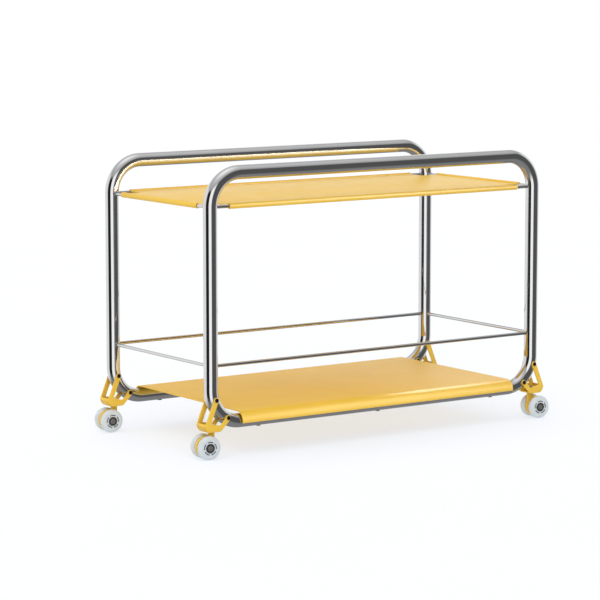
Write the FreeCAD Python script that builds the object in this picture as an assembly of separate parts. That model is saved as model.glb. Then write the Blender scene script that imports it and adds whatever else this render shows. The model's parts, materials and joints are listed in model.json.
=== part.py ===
"""Serving trolley: two bent tube loops, two sheet shelves, rods and four twin-wheel swivel casters.

Frame: +X along the trolley, +Y towards its back, +Z up. The origin is on the floor, midway
between the loops. Each sub-part is written to parts/NODE.step, in millimetres.
"""
import FreeCAD, Part
import math
import os

from FreeCAD import Vector

os.makedirs("parts", exist_ok=True)

X_AXIS = Vector(1, 0, 0)
Y_AXIS = Vector(0, 1, 0)
Z_AXIS = Vector(0, 0, 1)

# Tube loops
tube_diameter = 32.0
tube_wall = 2.0
loop_length = 908.0          # between the uprights' centrelines
loop_height = 550.0          # between the lower and upper runs' centrelines
loop_spacing = 413.0         # between the two loops' planes
bend_radius = 74.0           # of the tube's centreline
lower_run_height = 77.5      # lower run's centreline above the floor

# Rods between the uprights
rod_diameter = 8.0
shelf_rod_drop = 73.5        # below the upper run's centreline
guard_rail_rise = 127.0      # above the lower run's centreline
rod_thread_diameter = 5.0
rod_thread_length = 12.0
insert_collar_diameter = 9.6
insert_collar_thickness = 0.8
insert_collar_blank = 3.0     # collar's depth before it is shaped to the tube
insert_barrel_diameter = 7.0
insert_length = 13.0
thread_clearance = 0.05       # taken off a threaded end's radius

# Shelves
sheet = 2.0
hem_gap = 0.2                # between a shelf rod and the hem around it
hem_start = 178.0            # degrees from the outward side, where the hem leaves the sheet
hem_wrap = 300.0             # degrees of curl around each shelf rod
upper_sheet_drop = 4.0       # upper shelf's sheet below the top of its hems
upper_notch = 49.0           # square corner notch, from the uprights' centrelines
lower_shelf_inset = 70.0     # shelf end to the uprights' centrelines
seat_gap = 4.0               # between the lower shelf and the tubes it is rolled over
roll_wrap = 100.0            # degrees of curl over each lower run
spacer_diameter = 12.0
stud_diameter = 4.0
stud_length = 15.0
stud_pitch = 330.0
stud_hole_clearance = 0.25
spacer_clearance = 0.1
stud_nut_flats = 7.0
stud_nut_height = 3.4
stud_nut_flange_radius = 4.4
stud_nut_flange_thickness = 0.8
stud_nut_seat_drop = 0.8      # below the tube's inner wall, which curves away from the flange
access_hole_diameter = 10.0
plug_clearance = 0.05
plug_rim_width = 1.0
plug_rim_height = 2.0
plug_rim_drop = 0.6           # below the tube's lowest line

# Caster brackets, drawn from the corner where an upright's and the lower run's centrelines cross
bracket_sheet = 3.0
bracket_half_width = 19.0    # outer faces of the two plates, from the loop's plane
bracket_fold_radius = 2.0
lug_radius = 6.0
upper_bolt_angle = 16.2      # around the bend, from its upper end
lower_bolt_angle = 57.3
web_bottom = -17.0
web_inner_end = 13.0
web_outer_end = -16.5
tab_slit_width = 3.0         # between the outer tab and each plate
tab_slit_top = -4.0
bolt_diameter = 5.0
bolt_sleeve_diameter = 6.6
sleeve_hole_clearance = 0.1
sleeve_end_drop = 1.0         # sleeve's end below the front plate's face
bolt_reach = 6.0              # past the loop's plane
sleeve_thread_reach = 10.0
bolt_head_diameter = 9.4
bolt_head_height = 2.2
bolt_socket_flats = 3.0

# Casters
swivel_rest_angle = -8.0     # how far the casters stand turned from dead straight
trail = 13.6                 # swivel axis to axle
wheel_diameter = 54.0
wheel_width = 16.0
wheel_centre = 18.2          # wheel's middle plane to the tongue's middle plane
tongue_thickness = 6.0
tongue_disc_radius = 23.5
neck_width = 14.0
stem_diameter = 10.0
stem_clearance = 0.05
bushing_wall = 2.0
bushing_collar_diameter = 18.0
bushing_collar_thickness = 1.2
bushing_barrel_length = 7.0
swivel_gap = 0.2
stem_top_drop = 1.0           # below the lower run's centreline
spigot_length = 8.0
spigot_step = 2.0             # from the stem's radius in to the spigot's
washer_diameter = 18.0
washer_thickness = 1.5
stem_nut_flats = 16.0
stem_nut_height = 5.5
bearing_bore = 8.0
bearing_outside = 22.0
bearing_width = 7.0
bearing_recess = 0.2
shield_groove_outer = 9.5     # radii and depth of the groove in a bearing's faces
shield_groove_inner = 6.1
shield_groove_depth = 0.4
hub_bore_diameter = 18.0
axle_clearance = 0.03
axle_end_play = 0.02
tongue_spacer_diameter = 12.0
hub_spacer_diameter = 11.0
axle_screw_diameter = 5.0
axle_screw_length = 15.0
axle_bore_depth = 18.0
axle_barrel_drop = 0.5        # barrel's end short of the screw head
axle_head_diameter = 12.0
axle_head_height = 2.0
axle_socket_flats = 4.0

# Worked out from the above
tube_radius = tube_diameter / 2
rod_radius = rod_diameter / 2
half_length = loop_length / 2
half_spacing = loop_spacing / 2
top_run_height = lower_run_height + loop_height
shelf_rod_height = top_run_height - shelf_rod_drop
guard_rail_height = lower_run_height + guard_rail_rise
wheel_radius = wheel_diameter / 2
straight_run = half_length - bend_radius
left, right = -1, 1
front, back = -1, 1


def save(name, *solids):
    """Writes one node, which may be a group of separate like solids."""
    shape = solids[0] if len(solids) == 1 else Part.makeCompound(list(solids))
    for solid in shape.Solids:
        if not solid.isValid():
            raise RuntimeError("invalid solid in " + name)
    shape.exportStep("parts/%s.step" % name)
    print("%-28s %2d solid(s) %10.1f mm3" % (name, len(shape.Solids), shape.Volume))


def rod_between(start, end, radius):
    return Part.makeCylinder(radius, (end - start).Length, start, end - start)


def ring(outer, inner, length, base, direction):
    """A plain ring, such as a washer or a bush."""
    hole = Part.makeCylinder(inner, length, base, direction)
    return Part.makeCylinder(outer, length, base, direction).cut(hole)


def prism(corners, thickness_direction):
    """A flat plate from its corner points, extruded along a vector."""
    outline = Part.makePolygon(corners + [corners[0]])
    return Part.Face(outline).extrude(thickness_direction)


def hexagon(flats, length, base, direction):
    """A hexagonal prism, measured across its flats."""
    round_bar = Part.makeCylinder(flats / math.sqrt(3), length, base, direction)
    side = direction.cross(X_AXIS)
    if side.Length < 0.1:
        side = direction.cross(Y_AXIS)
    side.normalize()
    for step in range(6):
        turn = FreeCAD.Rotation(direction, 60.0 * step)
        normal = turn.multVec(side)
        slab = Part.makeBox(4 * flats, 4 * flats, length)
        slab.translate(Vector(flats / 2, -2 * flats, 0))
        place = FreeCAD.Placement(base, FreeCAD.Rotation(normal, direction.cross(normal), direction, "ZXY"))
        slab.Placement = place.multiply(slab.Placement)
        round_bar = round_bar.cut(slab)
    return round_bar


def upright(x_side, y_side):
    """Centreline point at the foot of an upright: the corner where it crosses the lower run."""
    return Vector(x_side * half_length, y_side * half_spacing, lower_run_height)


def loop_bar(y, radius):
    """A solid bar along one loop's whole closed centreline."""
    low = lower_run_height
    high = top_run_height
    pieces = []
    for z in (low, high):
        pieces.append(rod_between(Vector(-straight_run, y, z), Vector(straight_run, y, z), radius))
    for x in (-half_length, half_length):
        pieces.append(rod_between(Vector(x, y, low + bend_radius), Vector(x, y, high - bend_radius), radius))
    for x_side, z_side in ((right, 1), (left, 1), (left, -1), (right, -1)):
        z = (high - bend_radius) if z_side > 0 else (low + bend_radius)
        centre = Vector(x_side * straight_run, y, z)
        bend = Part.makeTorus(bend_radius, radius, Vector(0, 0, 0), Z_AXIS, 0, 360, 90)
        start = {(right, 1): 0, (left, 1): 90, (left, -1): 180, (right, -1): 270}[(x_side, z_side)]
        turn = FreeCAD.Rotation(Y_AXIS, -start).multiply(FreeCAD.Rotation(X_AXIS, 90))
        bend.Placement = FreeCAD.Placement(centre, turn)
        pieces.append(bend)
    return pieces[0].fuse(pieces[1:]).removeSplitter()


def bend_point(x_side, y_side, angle):
    """A point on the lower bend's centreline, at an angle from the bend's upper end."""
    corner = upright(x_side, y_side)
    inward = bend_radius - bend_radius * math.cos(math.radians(angle))
    rise = bend_radius - bend_radius * math.sin(math.radians(angle))
    return corner + Vector(-x_side * inward, 0, rise)


def stud_places(y_side):
    return [Vector(x, y_side * half_spacing, lower_run_height) for x in (-stud_pitch, 0, stud_pitch)]


def tube_loop(y_side):
    """One closed loop of tube with the holes for bolts, inserts and studs."""
    y = y_side * half_spacing
    loop = loop_bar(y, tube_radius).cut(loop_bar(y, tube_radius - tube_wall))
    holes = []
    for x_side in (left, right):
        for angle in (upper_bolt_angle, lower_bolt_angle):
            point = bend_point(x_side, y_side, angle)
            start = point - Y_AXIS * 2 * tube_radius
            end = point + Y_AXIS * 2 * tube_radius
            holes.append(rod_between(start, end, bolt_sleeve_diameter / 2 + sleeve_hole_clearance))
        for z in (shelf_rod_height, guard_rail_height):
            middle = Vector(x_side * half_length, y, z)
            inside = middle - Y_AXIS * y_side * 2 * tube_radius
            holes.append(rod_between(middle, inside, insert_barrel_diameter / 2))
    for place in stud_places(y_side):
        reach = Z_AXIS * tube_diameter
        holes.append(rod_between(place, place + reach, stud_diameter / 2 + stud_hole_clearance))
        holes.append(rod_between(place, place - reach, access_hole_diameter / 2))
    return loop.cut(holes)


def long_rod(y_side, z):
    """A rod welded between one loop's own two uprights, its ends shaped to the tube."""
    y = y_side * half_spacing
    bar = rod_between(Vector(-half_length, y, z), Vector(half_length, y, z), rod_radius)
    for x_side in (left, right):
        base = Vector(x_side * half_length, y, z - tube_diameter)
        bar = bar.cut(Part.makeCylinder(tube_radius, 2 * tube_diameter, base, Z_AXIS))
    return bar


def cross_rod(x_side, z):
    """A rod from loop to loop with a threaded end in each upright's insert."""
    x = x_side * half_length
    reach = half_spacing - tube_radius - insert_collar_thickness
    bar = rod_between(Vector(x, -reach, z), Vector(x, reach, z), rod_radius)
    tip = reach + rod_thread_length
    thread = rod_between(Vector(x, -tip, z), Vector(x, tip, z), rod_thread_diameter / 2 - thread_clearance)
    return bar.fuse(thread).removeSplitter()


def rod_insert(x_side, y_side, z):
    """Threaded insert in an upright's inner wall, with a collar shaped to the tube."""
    x = x_side * half_length
    face = half_spacing - tube_radius - insert_collar_thickness
    start = Vector(x, y_side * face, z)
    outward = Y_AXIS * y_side
    collar = rod_between(start, start + outward * insert_collar_blank, insert_collar_diameter / 2)
    foot = Vector(x, y_side * half_spacing, z - insert_collar_diameter)
    tube = Part.makeCylinder(tube_radius, 2 * insert_collar_diameter, foot, Z_AXIS)
    collar = collar.cut(tube)
    barrel = rod_between(start, start + outward * insert_length, insert_barrel_diameter / 2)
    bore = rod_between(start, start + outward * insert_length, rod_thread_diameter / 2)
    return collar.fuse(barrel).cut(bore).removeSplitter()


def curl(inner, thickness, begin, wrap, side_axis, side, centre, length_vector):
    """A sheet curled about a line: from an angle at begin, over the top and down the outer side."""
    def at(radius, angle):
        turn = math.radians(angle)
        return centre + side_axis * (side * radius * math.cos(turn)) + Z_AXIS * (radius * math.sin(turn))

    end = begin - wrap
    outer = inner + thickness
    middle = begin - wrap / 2
    outer_arc = Part.Arc(at(outer, begin), at(outer, middle), at(outer, end)).toShape()
    lip = Part.LineSegment(at(outer, end), at(inner, end)).toShape()
    inner_arc = Part.Arc(at(inner, end), at(inner, middle), at(inner, begin)).toShape()
    start = Part.LineSegment(at(inner, begin), at(outer, begin)).toShape()
    return Part.Face(Part.Wire([outer_arc, lip, inner_arc, start])).extrude(length_vector)


def make_upper_shelf():
    """Shallow tray: a flat sheet with square corner notches and a proud hem curled round each shelf rod."""
    inner = rod_radius + hem_gap
    bottom = shelf_rod_height + inner - upper_sheet_drop
    long_half = half_length - upper_notch
    short_half = half_spacing - upper_notch
    inset = inner + sheet / 2
    size_x = Vector(2 * long_half, 0, 0)
    size_y = Vector(0, 2 * short_half, 0)
    reach_x = half_length - inset
    reach_y = half_spacing - inset
    wide = Part.makeBox(2 * long_half, 2 * reach_y, sheet, Vector(-long_half, -reach_y, bottom))
    long = Part.makeBox(2 * reach_x, 2 * short_half, sheet, Vector(-reach_x, -short_half, bottom))
    shape = wide.fuse(long)
    for side in (-1, 1):
        start = Vector(-long_half, side * half_spacing, shelf_rod_height)
        shape = shape.fuse(curl(inner, sheet, hem_start, hem_wrap, Y_AXIS, side, start, size_x))
        start = Vector(side * half_length, -short_half, shelf_rod_height)
        shape = shape.fuse(curl(inner, sheet, hem_start, hem_wrap, X_AXIS, side, start, size_y))
    return shape.removeSplitter()


def make_lower_shelf():
    """Flat sheet over the lower runs, its long edges rolled round them at an even gap."""
    half = half_length - lower_shelf_inset
    roll_radius = tube_radius + seat_gap
    bottom = lower_run_height + roll_radius
    shape = Part.makeBox(2 * half, loop_spacing, sheet, Vector(-half, -half_spacing, bottom))
    for side in (front, back):
        centre = Vector(-half, side * half_spacing, lower_run_height)
        roll = curl(roll_radius, sheet, 90, roll_wrap, Y_AXIS, side, centre, Vector(2 * half, 0, 0))
        shape = shape.fuse(roll)
    return shape.removeSplitter()


def bar_along_run(place, radius):
    """A round bar on the lower run's centreline, long enough to shape what sits on the tube."""
    return Part.makeCylinder(radius, tube_diameter, place - X_AXIS * tube_radius, X_AXIS)


def shelf_spacer(place):
    """Collar round a stud that holds the lower shelf off the tube, shaped to both."""
    base = place + Z_AXIS * (tube_radius - tube_wall)
    bore = stud_diameter / 2 + spacer_clearance
    collar = ring(spacer_diameter / 2, bore, seat_gap + tube_wall, base, Z_AXIS)
    return collar.common(bar_along_run(place, tube_radius + seat_gap)).cut(bar_along_run(place, tube_radius))


def shelf_stud(place):
    """Stud welded under the lower shelf, down through the tube's top wall."""
    top = place + Z_AXIS * (tube_radius + seat_gap)
    stud = rod_between(top, top - Z_AXIS * stud_length, stud_diameter / 2)
    return stud.common(bar_along_run(place, tube_radius + seat_gap))


def stud_nut(place):
    """Flanged nut on the stud, inside the tube."""
    total = stud_nut_height + stud_nut_flange_thickness
    seat = place + Z_AXIS * (tube_radius - tube_wall - stud_nut_seat_drop)
    bottom = seat - Z_AXIS * total
    body = hexagon(stud_nut_flats, stud_nut_height, bottom, Z_AXIS)
    flange_base = seat - Z_AXIS * stud_nut_flange_thickness
    flange = Part.makeCylinder(stud_nut_flange_radius, stud_nut_flange_thickness, flange_base, Z_AXIS)
    return body.fuse(flange).cut(Part.makeCylinder(stud_diameter / 2, total, bottom, Z_AXIS))


def access_plug(place):
    """Low plug that closes the access hole under the tube."""
    bottom = place - Z_AXIS * (tube_radius + plug_rim_drop)
    stopper = Part.makeCylinder(access_hole_diameter / 2 - plug_clearance, 2 * tube_wall, bottom, Z_AXIS)
    rim = Part.makeCylinder(access_hole_diameter / 2 + plug_rim_width, plug_rim_height, bottom, Z_AXIS)
    return stopper.fuse(rim.cut(bar_along_run(place, tube_radius))).removeSplitter()


def tangent_point(outside, centre, side):
    """Where a line from a point touches a lug's circle, on its right (side 1) or its left (side -1)."""
    to_centre = centre - outside
    lean = math.degrees(math.asin(lug_radius / to_centre.Length))
    reach = math.sqrt(to_centre.Length ** 2 - lug_radius ** 2)
    return outside + FreeCAD.Rotation(Y_AXIS, side * lean).multVec(to_centre.normalize()) * reach


def forked_plate(upper, lower):
    """One bracket plate: a foot with two arms that end in round lugs, from the corner, +X inward."""
    outer_root, inner_root = Vector(-24.6, 0, 2.0), Vector(-12.0, 0, 2.6)
    crotch, heel = Vector(13.6, 0, -3.4), Vector(17.0, 0, -13.7)
    lugs = []
    for centre, first, last in ((upper, outer_root, inner_root), (lower, crotch, heel)):
        tip = centre + (centre * 2 - first - last).normalize() * lug_radius
        lugs.append((tangent_point(first, centre, -1), tip, tangent_point(last, centre, 1)))
    (outer_start, outer_tip, outer_end), (inner_start, inner_tip, inner_end) = lugs
    foot = [inner_end, heel, Vector(web_inner_end, 0, web_bottom), Vector(web_outer_end, 0, web_bottom),
            Vector(-22.0, 0, -12.0), Vector(-26.0, 0, -3.0), outer_root, outer_start]
    edges = [Part.makePolygon(foot),
             Part.Arc(outer_start, outer_tip, outer_end).toShape(),
             Part.makePolygon([outer_end, inner_root, crotch, inner_start]),
             Part.Arc(inner_start, inner_tip, inner_end).toShape()]
    return Part.Face(Part.Wire(edges)).extrude(Y_AXIS * bracket_sheet)


def caster_bracket(x_side, y_side):
    """Folded bracket: two forked plates either side of the tube, joined by a web underneath."""
    corner = upright(x_side, y_side)
    inward = -x_side
    inner_face = bracket_half_width - bracket_sheet
    upper = bend_point(x_side, y_side, upper_bolt_angle)
    lower = bend_point(x_side, y_side, lower_bolt_angle)
    lug_centres = [Vector(inward * (point.x - corner.x), 0, point.z - corner.z) for point in (upper, lower)]
    plate = forked_plate(*lug_centres)
    plates = [plate.translated(Vector(0, start, 0)) for start in (-bracket_half_width, inner_face)]

    web_length = web_inner_end - web_outer_end
    web = Part.makeBox(web_length, 2 * bracket_half_width, bracket_sheet,
                       Vector(web_outer_end, -bracket_half_width, web_bottom))
    tab_points = [(web_outer_end, web_bottom), (-22.0, -12.0), (-26.0, -3.0), (-24.6, 2.0), (-21.6, 1.4),
                  (-22.8, -3.0), (-19.6, -10.2), (-15.4, -14.0), (-14.0, -14.0), (-14.0, web_bottom)]
    tab = prism([Vector(across, -inner_face, up) for across, up in tab_points], Vector(0, 2 * inner_face, 0))
    for start in (-inner_face, inner_face - tab_slit_width):
        slit = Part.makeBox(web_length, tab_slit_width, tab_slit_top - web_bottom)
        slit.translate(Vector(2 * web_outer_end, start, web_bottom))
        tab = tab.cut(slit)
    shape = plates[0].fuse([plates[1], web, tab]).removeSplitter()
    if inward < 0:
        shape = shape.mirror(Vector(0, 0, 0), X_AXIS)
    shape.translate(corner)

    fold_edges = []
    for edge in shape.Edges:
        box = edge.BoundBox
        low = abs(box.ZMax - corner.z - web_bottom) < 0.01 and abs(box.ZMin - corner.z - web_bottom) < 0.01
        outer = abs(abs(box.YMin - corner.y) - bracket_half_width) < 0.01 and box.YLength < 0.01
        if low and outer and box.XLength > 10:
            fold_edges.append(edge)
    shape = shape.makeFillet(bracket_fold_radius, fold_edges)

    hole_base = corner + Z_AXIS * (web_bottom - bracket_sheet)
    holes = [Part.makeCylinder(bushing_wall + stem_diameter / 2, 3 * bracket_sheet, hole_base, Z_AXIS)]
    through = Y_AXIS * (bracket_half_width + bracket_sheet)
    for point in (upper, lower):
        radius = bolt_sleeve_diameter / 2 + sleeve_hole_clearance
        holes.append(rod_between(point - through, point + through, radius))
    return shape.cut(holes)


def domed_head(base, outward, diameter, height, flats):
    """A low round head with a bevelled rim and a hexagon socket."""
    head = Part.makeCylinder(diameter / 2, height, base, outward)
    rim = [edge for edge in head.Edges if abs(edge.BoundBox.Center.distanceToPoint(base) - height) < 0.01]
    head = head.makeFillet(height * 0.45, rim)
    return head.cut(hexagon(flats, height * 0.75, base + outward * height * 0.3, outward))


def bracket_bolt(point):
    """Socket bolt from the front, screwed into the sleeve nut."""
    face = point - Y_AXIS * bracket_half_width
    head = domed_head(face, Y_AXIS * -1, bolt_head_diameter, bolt_head_height, bolt_socket_flats)
    return head.fuse(rod_between(face, point + Y_AXIS * bolt_reach, bolt_diameter / 2 - thread_clearance))


def bracket_sleeve_nut(point):
    """Sleeve nut from the back, its barrel through both plates and the tube."""
    face = point + Y_AXIS * bracket_half_width
    head = domed_head(face, Y_AXIS, bolt_head_diameter, bolt_head_height, bolt_socket_flats)
    end = point - Y_AXIS * (bracket_half_width - sleeve_end_drop)
    barrel = rod_between(face, end, bolt_sleeve_diameter / 2)
    bore = rod_between(end, point + Y_AXIS * sleeve_thread_reach, bolt_diameter / 2)
    return head.fuse(barrel).cut(bore)


def swivel_bushing(corner):
    """Flanged bush in the bracket's web; the stem turns in it and the tongue bears on its collar."""
    bore = stem_diameter / 2 + stem_clearance
    bottom = corner + Z_AXIS * (web_bottom - bushing_collar_thickness)
    collar = ring(bushing_collar_diameter / 2, bore, bushing_collar_thickness, bottom, Z_AXIS)
    height = bushing_collar_thickness + bushing_barrel_length
    barrel = ring(bore + bushing_wall - stem_clearance, bore, height, bottom, Z_AXIS)
    return collar.fuse(barrel).removeSplitter()


class Caster:
    """Places of one caster's pieces, which stand turned about the swivel axis."""

    def __init__(self, x_side, y_side):
        self.corner = upright(x_side, y_side)
        turn = math.radians(swivel_rest_angle)
        self.ahead = Vector(math.cos(turn), math.sin(turn), 0) * x_side
        self.across = Vector(-math.sin(turn), math.cos(turn), 0)
        foot = Vector(self.corner.x, self.corner.y, wheel_radius)
        self.axle = foot + self.ahead * trail
        self.neck_top = lower_run_height + web_bottom - bushing_collar_thickness - swivel_gap

    def tongue(self):
        """Flat tongue: a neck under the swivel and a disc around the axle."""
        half = self.across * (tongue_thickness / 2)
        disc = rod_between(self.axle - half, self.axle + half, tongue_disc_radius)
        middle = Vector(self.corner.x, self.corner.y, 0) - half
        side = self.ahead * (neck_width / 2)
        low = Z_AXIS * wheel_radius
        high = Z_AXIS * self.neck_top
        neck = prism([middle - side + low, middle + side + low, middle + side + high, middle - side + high],
                     self.across * tongue_thickness)
        bore = rod_between(self.axle - half * 3, self.axle + half * 3, bearing_bore / 2)
        socket_foot = middle + half + Z_AXIS * (self.neck_top - spigot_length)
        socket = Part.makeCylinder(stem_diameter / 2 - spigot_step, spigot_length, socket_foot, Z_AXIS)
        return neck.fuse(disc).removeSplitter().cut([bore, socket])

    def stem(self):
        """Swivel stem, its spigot pressed into the top of the tongue."""
        base = Vector(self.corner.x, self.corner.y, self.neck_top)
        top = Vector(self.corner.x, self.corner.y, lower_run_height - stem_top_drop)
        body = rod_between(base, top, stem_diameter / 2)
        spigot = rod_between(base - Z_AXIS * spigot_length, base, stem_diameter / 2 - spigot_step)
        return body.fuse(spigot).removeSplitter()

    def stem_nut(self):
        """Lock nut and washer that hold the stem up, inside the bracket."""
        bush_top = lower_run_height + web_bottom + bushing_barrel_length
        washer_base = Vector(self.corner.x, self.corner.y, bush_top + swivel_gap)
        washer = ring(washer_diameter / 2, stem_diameter / 2, washer_thickness, washer_base, Z_AXIS)
        nut_base = washer_base + Z_AXIS * washer_thickness
        nut = hexagon(stem_nut_flats, stem_nut_height, nut_base, Z_AXIS)
        nut = nut.cut(Part.makeCylinder(stem_diameter / 2, stem_nut_height, nut_base, Z_AXIS))
        return washer, nut

    def wheel_middle(self, side):
        return self.axle + self.across * (side * wheel_centre)

    def wheel(self, side):
        """Cast tyre and hub in one: flat faces, a fully rounded tread and two bearing seats."""
        middle = self.wheel_middle(side)
        half = wheel_width / 2
        crown = wheel_radius - half
        core = rod_between(middle - self.across * half, middle + self.across * half, crown)
        tread = Part.makeTorus(crown, half - 0.001, middle, self.across)
        body = core.fuse(tread).removeSplitter()
        seat_depth = bearing_width + bearing_recess
        through = self.across * wheel_width
        cuts = [rod_between(middle - through, middle + through, hub_bore_diameter / 2)]
        for face in (-1, 1):
            start = middle + self.across * (face * half)
            inner = middle + self.across * (face * (half - seat_depth))
            cuts.append(rod_between(start, inner, bearing_outside / 2))
        return body.cut(cuts)

    def bearings(self, side):
        """The wheel's two ball bearings, each with a shallow shield groove in both faces."""
        middle = self.wheel_middle(side)
        result = []
        for face in (-1, 1):
            inner = wheel_width / 2 - bearing_recess - bearing_width
            base = middle + self.across * (face * inner)
            direction = self.across * face
            bore = bearing_bore / 2 + axle_clearance
            body = ring(bearing_outside / 2, bore, bearing_width, base, direction)
            for groove in (base, base + direction * (bearing_width - shield_groove_depth)):
                body = body.cut(ring(shield_groove_outer, shield_groove_inner, shield_groove_depth,
                                     groove, direction))
            result.append(body)
        return result

    def spacers(self):
        """Collars on the axle: tongue to inner bearings, and between each wheel's bearings."""
        result = []
        for side in (-1, 1):
            direction = self.across * side
            inner_bearing = wheel_centre - wheel_width / 2 + bearing_recess
            start = self.axle + direction * (tongue_thickness / 2)
            length = inner_bearing - tongue_thickness / 2 - axle_end_play
            result.append(ring(tongue_spacer_diameter / 2, bearing_bore / 2, length, start, direction))
            gap = wheel_width - 2 * bearing_recess - 2 * bearing_width - 2 * axle_end_play
            start = self.axle + direction * (wheel_centre - gap / 2)
            result.append(ring(hub_spacer_diameter / 2, bearing_bore / 2, gap, start, direction))
        return result

    def axle_set(self):
        """Headed axle barrel from the front and the screw that closes it from the back."""
        face = wheel_centre + wheel_width / 2 - bearing_recess + axle_end_play
        near = self.axle - self.across * face
        far = self.axle + self.across * face
        head = domed_head(near, self.across * -1, axle_head_diameter, axle_head_height, axle_socket_flats)
        barrel = rod_between(near, far - self.across * axle_barrel_drop, bearing_bore / 2)
        bore = rod_between(far - self.across * axle_bore_depth, far, axle_screw_diameter / 2)
        barrel = head.fuse(barrel).cut(bore)
        screw_head = domed_head(far, self.across, axle_head_diameter, axle_head_height, axle_socket_flats)
        screw_radius = axle_screw_diameter / 2 - thread_clearance
        screw = screw_head.fuse(rod_between(far, far - self.across * axle_screw_length, screw_radius))
        return barrel, screw


corner_names = {(left, front): "front_left", (right, front): "front_right",
                (left, back): "back_left", (right, back): "back_right"}

save("front_loop", tube_loop(front))
save("back_loop", tube_loop(back))
save("shelf_rod_front", long_rod(front, shelf_rod_height))
save("shelf_rod_back", long_rod(back, shelf_rod_height))
save("shelf_rod_left", cross_rod(left, shelf_rod_height))
save("shelf_rod_right", cross_rod(right, shelf_rod_height))
save("guard_rail_front", long_rod(front, guard_rail_height))
save("guard_rail_back", long_rod(back, guard_rail_height))
save("guard_rail_left", cross_rod(left, guard_rail_height))
save("guard_rail_right", cross_rod(right, guard_rail_height))
save("rod_inserts", *[rod_insert(x_side, y_side, z) for x_side, y_side in corner_names
                      for z in (shelf_rod_height, guard_rail_height)])
save("upper_shelf", make_upper_shelf())
save("lower_shelf", make_lower_shelf())
all_stud_places = stud_places(front) + stud_places(back)
save("lower_shelf_spacers", *[shelf_spacer(place) for place in all_stud_places])
save("lower_shelf_studs", *[shelf_stud(place) for place in all_stud_places])
save("lower_shelf_stud_nuts", *[stud_nut(place) for place in all_stud_places])
save("access_plugs", *[access_plug(place) for place in all_stud_places])

bolt_points = [bend_point(x_side, y_side, angle) for x_side, y_side in corner_names
               for angle in (upper_bolt_angle, lower_bolt_angle)]
save("bracket_bolts", *[bracket_bolt(point) for point in bolt_points])
save("bracket_sleeve_nuts", *[bracket_sleeve_nut(point) for point in bolt_points])
save("swivel_bushings", *[swivel_bushing(upright(*sides)) for sides in corner_names])

for (x_side, y_side), place in corner_names.items():
    caster = Caster(x_side, y_side)
    save("caster_bracket_" + place, caster_bracket(x_side, y_side))
    save("caster_tongue_" + place, caster.tongue())
    save("swivel_stem_" + place, caster.stem())
    save("stem_nut_" + place, *caster.stem_nut())
    save("axle_" + place, *caster.axle_set())
    save("axle_spacers_" + place, *caster.spacers())
    for side, word in ((front, "a"), (back, "b")):
        save("wheel_%s_%s" % (place, word), caster.wheel(side))
        save("bearings_%s_%s" % (place, word), *caster.bearings(side))
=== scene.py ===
"""Looks of a serving trolley: chrome tube loops, yellow sheet shelves, thin rails and twin-wheel casters.

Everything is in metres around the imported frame: +X along the trolley, +Y to its back, +Z up.
"""
import json
import math

import bpy
from mathutils import Matrix, Vector

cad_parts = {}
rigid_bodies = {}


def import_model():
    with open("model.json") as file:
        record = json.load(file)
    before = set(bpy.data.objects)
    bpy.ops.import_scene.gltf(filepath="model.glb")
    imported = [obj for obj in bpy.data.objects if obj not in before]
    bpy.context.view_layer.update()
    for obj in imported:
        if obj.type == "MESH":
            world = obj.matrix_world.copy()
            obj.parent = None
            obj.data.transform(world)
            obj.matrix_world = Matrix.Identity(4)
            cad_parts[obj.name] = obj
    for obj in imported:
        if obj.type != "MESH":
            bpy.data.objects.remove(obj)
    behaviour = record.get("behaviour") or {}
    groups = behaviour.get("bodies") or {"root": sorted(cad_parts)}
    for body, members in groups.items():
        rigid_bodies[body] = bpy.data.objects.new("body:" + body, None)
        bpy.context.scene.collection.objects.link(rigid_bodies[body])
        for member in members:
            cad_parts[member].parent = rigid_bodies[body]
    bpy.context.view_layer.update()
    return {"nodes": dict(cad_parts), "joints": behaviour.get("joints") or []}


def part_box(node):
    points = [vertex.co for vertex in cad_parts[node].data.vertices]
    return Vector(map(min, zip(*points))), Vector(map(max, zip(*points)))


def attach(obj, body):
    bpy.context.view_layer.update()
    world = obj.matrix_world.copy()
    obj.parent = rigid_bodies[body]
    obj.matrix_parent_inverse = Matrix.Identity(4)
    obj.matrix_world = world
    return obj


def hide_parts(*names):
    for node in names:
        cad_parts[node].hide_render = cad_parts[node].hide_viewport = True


bl_info = {
    "name": "Serving trolley",
    "version": (1, 0, 0),
    "blender": (4, 5, 0),
    "location": "3D View > Sidebar > Trolley",
    "description": "Models a tube and sheet serving trolley around its packed frame",
    "category": "Add Mesh",
}

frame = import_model()

MM = 0.001
NEAR = 0.01 * MM
X, Y, Z = Vector((1, 0, 0)), Vector((0, 1, 0)), Vector((0, 0, 1))
BENT_FACING, LEVEL_FACING = 0.93, 0.998
CORNERS = {"front_left": (-1, -1), "front_right": (1, -1), "back_left": (-1, 1), "back_right": (1, 1)}
WHEEL_SIDES = {"a": -1, "b": 1}

# Places read from the frame
loop_low, loop_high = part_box("front_loop")
tube_default = loop_high.y - loop_low.y
rod_low, rod_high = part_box("guard_rail_front")
rod_default = rod_high.y - rod_low.y
wheel_low, wheel_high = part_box("wheel_front_left_a")
wheel_default = wheel_high.z - wheel_low.z
swivels = [joint for joint in frame["joints"] if joint["parent"] == "frame"]
rolls = {joint["name"].replace("wheel_", "").replace("_roll", ""): joint for joint in frame["joints"]
         if joint["parent"] != "frame"}


def length(name, description, default):
    return bpy.props.FloatProperty(name=name, description=description, default=default, min=0, unit="LENGTH",
                                   precision=5)


def colour(name, description, default):
    return bpy.props.FloatVectorProperty(name=name, description=description, default=default, size=3, min=0,
                                         max=1, subtype="COLOR")


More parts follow.
